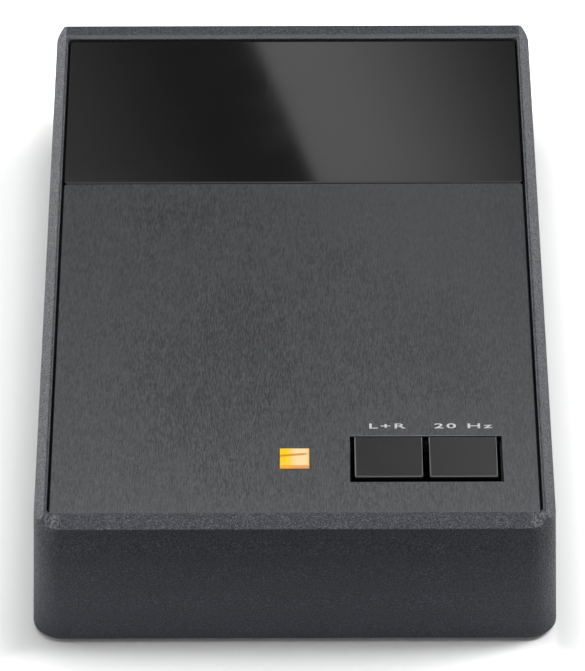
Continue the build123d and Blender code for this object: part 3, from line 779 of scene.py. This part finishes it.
class PREAMP_OT_keys(bpy.types.Operator):
    """Make the two push keys and finish the switches under them"""
    bl_idname = "preamp.keys"
    bl_label = "Push keys"

    def execute(self, context):
        key = context.scene.preamp.key
        gloss = polished("gloss_black_key", key.colour, key.roughness)
        for side in SIDES:
            softened(side + "_button_cap", side + "_key", gloss, key.edge, segments=3)
        housing = moulded("switch_housing", (0.012, 0.012, 0.014), 0.5)
        spring = plated("spring_steel", (0.55, 0.55, 0.57), 0.3)
        stem = moulded("white_stem", context.scene.preamp.socket.white, 0.4)
        for side in SIDES:
            dress([side + "_switch_body"], housing)
            dress([side + "_switch_plunger"], stem)
            self.coil(side, spring)
        return {"FINISHED"}

    @staticmethod
    def coil(side, material):
        """A return spring under its key, on a mesh of its own."""
        node = side + "_switch_spring"
        made = stand_in(node, side + "_return_spring", copy_of(node, turned=True), material, weighted=False)
        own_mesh(made)


class PREAMP_OT_lamp(bpy.types.Operator):
    """Make the lit lens, its lamp and spacer"""
    bl_idname = "preamp.lamp"
    bl_label = "Pilot lamp"

    def execute(self, context):
        lamp = context.scene.preamp.lamp
        amber = lit_lens("amber_lens", lamp.colour, lamp.core, lamp.strength)
        softened("lamp_lens", "amber_lens", amber, wanted=on_top(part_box("lamp_lens")[1].z))
        dress(["status_led"], lit_lens("lamp_body", lamp.colour, lamp.core, 1.0))
        dress(["led_spacer"], moulded("spacer_moulding", (0.02, 0.02, 0.02), 0.5))
        return {"FINISHED"}


class PREAMP_OT_lettering(bpy.types.Operator):
    """Print the marks over the keys and at the rear sockets"""
    bl_idname = "preamp.lettering"
    bl_label = "Lettering"

    def execute(self, context):
        ink = context.scene.preamp.lettering
        material = moulded("label_ink", ink.colour, 0.5, 0.15 * MM, 0.004 * MM)
        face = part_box("top_plate")[1].z
        # Each shift is from the middle of the key.
        for side, text, shift, stretch in (("left", ink.left_key, -0.075 * MM, 1.95),
                                           ("right", ink.right_key, 0.245 * MM, 2.1)):
            low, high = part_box(side + "_button_cap")
            place = ((low.x + high.x) / 2 + shift, high.y + ink.rise, face + ink.lift)
            bm = lettering(text, ink.height, stretch, ink.thickness)
            bmesh.ops.translate(bm, vec=place, verts=bm.verts)
            piece("top_plate", f"mark_{side}_key", bm, material, weighted=False)
        self.rear_marks(ink, material)
        return {"FINISHED"}

    @staticmethod
    def rear_marks(ink, material):
        """Mark the sockets on the flat field at the rear, to be read from behind."""
        field_depth, stretch = 1.5 * MM, 1.3
        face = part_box("case")[1].y - field_depth
        upright = (Matrix.Rotation(pi, 3, "Z") @ Matrix.Rotation(pi / 2, 3, "X")).to_4x4()
        for group, word in (("input", "IN"), ("output", "OUT")):
            low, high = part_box(group + "_jack_shells")
            middle = (low + high) / 2
            radius = high.z - middle.z
            # The left channel's white plug is the one at the +X side of each pair.
            for mark, x, rise in ((word, middle.x, ink.word_rise), ("L", high.x - radius, ink.letter_rise),
                                  ("R", low.x + radius, ink.letter_rise)):
                bm = lettering(mark, ink.rear_height, stretch, ink.thickness)
                bmesh.ops.transform(bm, matrix=upright, verts=bm.verts)
                bmesh.ops.translate(bm, vec=(x, face + ink.lift, high.z + rise), verts=bm.verts)
                piece("case", f"mark_{group}_{mark}".lower(), bm, material, weighted=False)


class PREAMP_OT_underside(bpy.types.Operator):
    """Finish the bottom cover, its screws and the feet"""
    bl_idname = "preamp.underside"
    bl_label = "Cover and feet"

    def execute(self, context):
        coat = context.scene.preamp.coat
        paint = powder_coat("cover_paint", (0.03, 0.031, 0.033), (0.08, 0.08, 0.085), coat.grain * 0.8, 0.5)
        softened("bottom_cover", "painted_cover", paint)
        blacked = plated("black_screw", (0.05, 0.05, 0.052), 0.35)
        for group in ("cover_screws", "jack_screws"):
            softened(group, "black_" + group, blacked, 0.1 * MM, turned=True)
        dress(["board_screws"], plated("zinc_screw", (0.55, 0.55, 0.56), 0.3))
        rubber = moulded("foot_rubber", (0.018, 0.018, 0.018), 0.75, 0.5 * MM, 0.03 * MM)
        softened("rubber_feet", "moulded_feet", rubber)
        return {"FINISHED"}


class PREAMP_OT_sockets(bpy.types.Operator):
    """Finish the signal sockets and the power inlet"""
    bl_idname = "preamp.sockets"
    bl_label = "Sockets"

    def execute(self, context):
        socket = context.scene.preamp.socket
        black = moulded("black_moulding", (0.016, 0.016, 0.016), 0.5)
        for name in ("input_jack_housing", "output_jack_housing", "dc_jack_housing"):
            softened(name, "moulded_" + name, black, turned=True)
        gold = plated("gold_plate", socket.gold, 0.18)
        for name in ("input_jack_shells", "output_jack_shells"):
            softened(name, "plated_" + name, gold, 0.03 * MM, turned=True)
        dress(["jack_contacts"], gold)
        for side, plug in (("left", moulded("white_moulding", socket.white, 0.4)),
                           ("right", moulded("red_moulding", socket.red, 0.4))):
            softened(side + "_jack_insulators", side + "_channel_plugs", plug, turned=True)
        dress(["dc_jack_pin", "dc_jack_contact"], plated("nickel_plate", socket.nickel, 0.2))
        return {"FINISHED"}


class PREAMP_OT_ground_post(bpy.types.Operator):
    """Finish the ground terminal"""
    bl_idname = "preamp.ground_post"
    bl_label = "Ground post"

    def execute(self, context):
        socket = context.scene.preamp.socket
        post = turned_post("ground_stud", head_length=1.2 * MM, shank=2.0 * MM, pitch=0.7 * MM,
                           depth=0.25 * MM, tip=0.3 * MM)
        stand_in("ground_stud", "threaded_post", post, plated("brass_post", (0.7, 0.55, 0.27), 0.25))
        nickel = plated("nickel_hardware", socket.nickel, 0.22)
        dress(["ground_nut"], nickel)
        softened("ground_washer", "plated_washer", nickel, turned=True)
        gold = plated("gold_knob", socket.gold, 0.2)
        softened("ground_knob", "plated_thumb_nut", gold, 0.06 * MM, angle=60.0, turned=True)
        return {"FINISHED"}


class PREAMP_OT_setting_switches(bpy.types.Operator):
    """Finish the two banks of setting switches"""
    bl_idname = "preamp.setting_switches"
    bl_label = "Setting switches"

    def execute(self, context):
        blue = moulded("dip_housing", (0.02, 0.07, 0.28), 0.4)
        for side in SIDES:
            softened(side + "_dip_switch", side + "_switch_bank", blue, 0.12 * MM)
        white = moulded("lever_moulding", context.scene.preamp.socket.white, 0.4)
        for side in SIDES:
            for number in range(1, 5):
                lever = f"{side}_dip_lever_{number}"
                softened(lever, lever + "_moulding", white, 0.1 * MM)
        return {"FINISHED"}


class PREAMP_OT_inside(bpy.types.Operator):
    """Finish the board and the parts on it"""
    bl_idname = "preamp.inside"
    bl_label = "Board and its parts"

    def execute(self, context):
        dress(["main_board"], solder_mask("circuit_board"))
        dress(["amplifier_chips", "regulator"], moulded("chip_epoxy", (0.016, 0.016, 0.017), 0.55))
        dress(["electrolytic_capacitors"], striped_sleeve("capacitor_sleeve"))
        dress(["film_capacitors"], moulded("film_capacitor_case", (0.4, 0.03, 0.02), 0.35))
        dress(["resistors"], banded_body("resistor_body"))
        dress(["regulator_heatsink"], brushed_plate("black_heatsink", (0.05, 0.05, 0.05), 0.3 * MM, 0.45))
        return {"FINISHED"}


# ---------------------------------------------------------------- stage and camera
def area_lamp(name, place, width, depth, power):
    """A soft box aimed at the origin, which lights the object without showing in its gloss."""
    data = bpy.data.lights.new(name, "AREA")
    data.shape = "RECTANGLE"
    data.size = width
    data.size_y = depth
    data.energy = power
    lamp = bpy.data.objects.new(name, data)
    lamp.location = place
    lamp.rotation_euler = (Vector() - Vector(place)).to_track_quat("-Z", "Y").to_euler()
    lamp.visible_camera = False
    lamp.visible_glossy = False
    bpy.context.scene.collection.objects.link(lamp)


def floor_paper(stage):
    """White paper that turns into the white of the room further out.

    The camera sees it white, with a painted shadow that greys it a little at the case's foot and at its
    right.
    The case gets more light back from the paper at its flanks than in front and behind.
    """
    low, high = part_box("case")
    foot_reach = 9.0 * MM
    front_haste = 1.8  # the grey at the foot ends this much sooner in front
    right_edge, right_front, right_rear = 1.0 * MM, 70.0 * MM, 92.0 * MM
    clear, right_foot, right_clear = (1.3, 1.3, 1.3), (0.83, 0.83, 0.83), (1.04, 1.04, 1.04)
    flank, flank_clear = 50.0 * MM, 65.0 * MM
    right_flank = 0.6  # of what the left flank gives back
    paper_end, room_start = 0.3, 0.6

    material = bpy.data.materials.new("floor_paper")
    material.use_nodes = True
    graph = Graph(material.node_tree)
    camera, gloss = graph.ray("Camera"), graph.ray("Glossy")
    x, y = graph.along(0), graph.along(1)
    flanks = graph.step(x, -flank, -flank_clear) + graph.step(x, flank, flank_clear) * right_flank
    # Painted shadow: the camera sees the paper greyer near the case's foot and beside its right wall.
    away = ((low.y - y) * front_haste).at_least(y - high.y).at_least(abs(x) - high.x)
    off = graph.step(away, 0.0, foot_reach)
    right = graph.step(x, high.x - right_edge, high.x + right_edge) * graph.step(y, right_rear, right_front)
    seen = graph.mix(right, graph.mix(off, WHITE, clear), graph.mix(off, right_foot, right_clear))
    paper = graph.mix(camera, graph.mix(flanks, stage.floor, stage.flanks), seen)
    near = graph.node("ShaderNodeBsdfDiffuse", inputs={"Color": paper})
    far = graph.node("ShaderNodeEmission", inputs={"Color": WHITE, "Strength": 1.0})
    fade = graph.step(x * x + y * y, paper_end ** 2, room_start ** 2) * (camera + gloss)
    surface = graph.node("ShaderNodeMixShader", inputs={0: fade, 1: near, 2: far})
    graph.node("ShaderNodeOutputMaterial", inputs={"Surface": surface})
    return material


def camera_place():
    """Where the camera stands and how it is turned."""
    turn, tilt, lean = radians(-0.090), radians(41.926), radians(-0.093)
    distance = 1.04193
    target = Vector((-0.272 * MM, -9.189 * MM, 15.0 * MM))
    back = Vector((sin(turn) * cos(tilt), -cos(turn) * cos(tilt), sin(tilt)))
    right = (-back).cross(Vector((0.0, 0.0, 1.0))).normalized()
    up = right.cross(-back)
    across = right * cos(lean) + up * sin(lean)
    upright = up * cos(lean) - right * sin(lean)
    return target + back * distance, Matrix((across, upright, back)).transposed()


def box_plane(eye):
    """The normal of a plane through the edge of the soft box behind the object.

    Gloss on the top shows the room along lines from the camera's mirror image below it. So the plane goes
    through that image and through the line on the window where the edge shows.
    """
    low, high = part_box("window_panel")
    mirror = Vector((eye.x, eye.y, 2 * high.z - eye.z))
    rear = Vector((-8.164 * MM, high.y, high.z)) - mirror
    fore = Vector((4.681 * MM, low.y, high.z)) - mirror
    return rear.cross(fore).normalized()


def soft_box(graph, across, up):
    """The light of a box that fades away from its edge, and of a wall on the other side that brightens."""
    box = graph.step(across, -0.0008, 0.0008)
    glow = graph.step(across, 0.006, 0.05, 1.5, 0.22)
    wall = graph.step(across, -0.055, -0.012, 0.55, 0.115)
    higher = graph.step(up, 0.642, 0.652)
    light = between(box, wall * (1.0 + higher * 0.4), glow * (1.0 - higher * 0.15))
    light = between(graph.step(up, 0.65, 0.685) * 0.36, light, 0.8)
    return light + graph.step(across, 0.02, 0.05) * graph.step(up, 0.655, 0.69) * 1.2


def ceiling(graph, across, up, below):
    """The light of a bright ceiling, dim overhead, that starts higher up at the right, over what is below."""
    light = between(graph.step(up, 0.83, 0.9), graph.step(across, -0.02, 0.02, 2.6, 3.9), 0.8)
    start = graph.step(up - across.at_least(0.0) * 0.8, 0.695, 0.735)
    return between(start, below, light)


def low_walls(graph, x, y, up):
    """The light of the walls low down, bright at the sides and dark in front and behind."""
    flank = graph.step(x, -0.3, 0.3, 5.2, 4.0) * graph.step(up, 0.1, 0.45, 1.0, 0.25)
    return graph.step(x * x, 0.1, 0.3) * graph.step(y, -0.1, 0.4, 0.25, 1.0) * flank + 0.2


def studio(room):
    """A room that the camera sees white, that lights matt faces evenly, and that gloss sees furnished.

    A direction is told by its share of each axis, and by how far it goes across the plane of the box's edge.
    """
    world = bpy.data.worlds.new("studio")
    world.use_nodes = True
    graph = Graph(world.node_tree)
    towards = graph.node("ShaderNodeTexCoord", output="Generated")
    x, y, up = (graph.node("ShaderNodeSeparateXYZ", inputs={0: towards}, output=axis) for axis in range(3))
    eye, _ = camera_place()
    across = graph.dot(towards, box_plane(eye))
    furnished = ceiling(graph, across, up, soft_box(graph, across, up))
    round_camera = graph.step(graph.dot(towards, eye.normalized()), 0.86, 0.97, 0.8, 5.4)
    furnished = between(graph.step(y, 0.15, -0.25), furnished, round_camera)
    furnished = between(graph.step(up, 0.5, 0.62, 1.0, 0.0), furnished, low_walls(graph, x, y, up))
    gloss, camera = graph.ray("Glossy"), graph.ray("Camera")
    light = gloss * furnished + camera + (1.0 - gloss) * (1.0 - camera) * room
    background = graph.node("ShaderNodeBackground", inputs={"Color": WHITE, "Strength": light})
    graph.node("ShaderNodeOutputWorld", inputs={"Surface": background})
    return world


class PREAMP_OT_stage(bpy.types.Operator):
    """Set the floor, the lamps and the studio that gloss reflects"""
    bl_idname = "preamp.stage"
    bl_label = "Stage"

    def execute(self, context):
        stage = context.scene.preamp.stage
        half_floor = 6.0
        bm = bmesh.new()
        bmesh.ops.create_grid(bm, x_segments=2, y_segments=2, size=half_floor)
        mesh = bpy.data.meshes.new("floor")
        bm.to_mesh(mesh)
        bm.free()
        floor = bpy.data.objects.new("floor", mesh)
        context.scene.collection.objects.link(floor)
        mesh.materials.append(floor_paper(stage))
        area_lamp("overhead_lamp", (0.0, 0.3, 1.25), 1.3, 1.0, stage.overhead)
        area_lamp("right_lamp", (0.9, 0.25, 0.9), 0.55, 0.55, stage.right)
        area_lamp("left_lamp", (-1.1, 0.1, 0.6), 0.8, 0.8, stage.left)
        area_lamp("front_lamp", (-0.1, -1.0, 0.3), 0.8, 0.4, stage.front)
        context.scene.world = studio(stage.room)
        context.scene.view_settings.view_transform = "Standard"
        return {"FINISHED"}


class PREAMP_OT_camera(bpy.types.Operator):
    """Place the camera"""
    bl_idname = "preamp.camera"
    bl_label = "Camera"

    def execute(self, context):
        data = bpy.data.cameras.new("camera")
        data.lens = context.scene.preamp.stage.lens
        data.sensor_width = 36.0
        data.clip_start = 0.01
        data.clip_end = 20.0
        camera = bpy.data.objects.new("camera", data)
        eye, turned = camera_place()
        camera.matrix_world = Matrix.Translation(eye) @ turned.to_4x4()
        context.scene.collection.objects.link(camera)
        context.scene.camera = camera
        return {"FINISHED"}


# ---------------------------------------------------------------- add-on
OPERATORS = (
    PREAMP_OT_case, PREAMP_OT_panels, PREAMP_OT_keys, PREAMP_OT_lamp, PREAMP_OT_lettering,
    PREAMP_OT_underside, PREAMP_OT_sockets, PREAMP_OT_ground_post, PREAMP_OT_setting_switches,
    PREAMP_OT_inside, PREAMP_OT_camera, PREAMP_OT_stage,
)


class PREAMP_PT_parts(bpy.types.Panel):
    """The parts of the preamplifier"""
    bl_idname = "PREAMP_PT_parts"
    bl_label = "Preamplifier"
    bl_space_type = "VIEW_3D"
    bl_region_type = "UI"
    bl_category = "Preamplifier"

    def draw(self, context):
        for operator in OPERATORS:
            self.layout.operator(operator.bl_idname)


GROUPS = (CoatSettings, PlateSettings, WindowSettings, KeySettings, LampSettings,
          LetteringSettings, SocketSettings, StageSettings, PreampSettings)
CLASSES = GROUPS + OPERATORS + (PREAMP_PT_parts,)


def register():
    """Add the settings, the operators and the panel to Blender."""
    for cls in CLASSES:
        bpy.utils.register_class(cls)
    bpy.types.Scene.preamp = PointerProperty(type=PreampSettings)


def unregister():
    """Take them away again."""
    del bpy.types.Scene.preamp
    for cls in reversed(CLASSES):
        bpy.utils.unregister_class(cls)


def main():
    """Build the dressed preamplifier and its stage."""
    register()
    for operator in OPERATORS:
        group, name = operator.bl_idname.split(".")
        getattr(getattr(bpy.ops, group), name)()


if __name__ == "__main__":
    main()
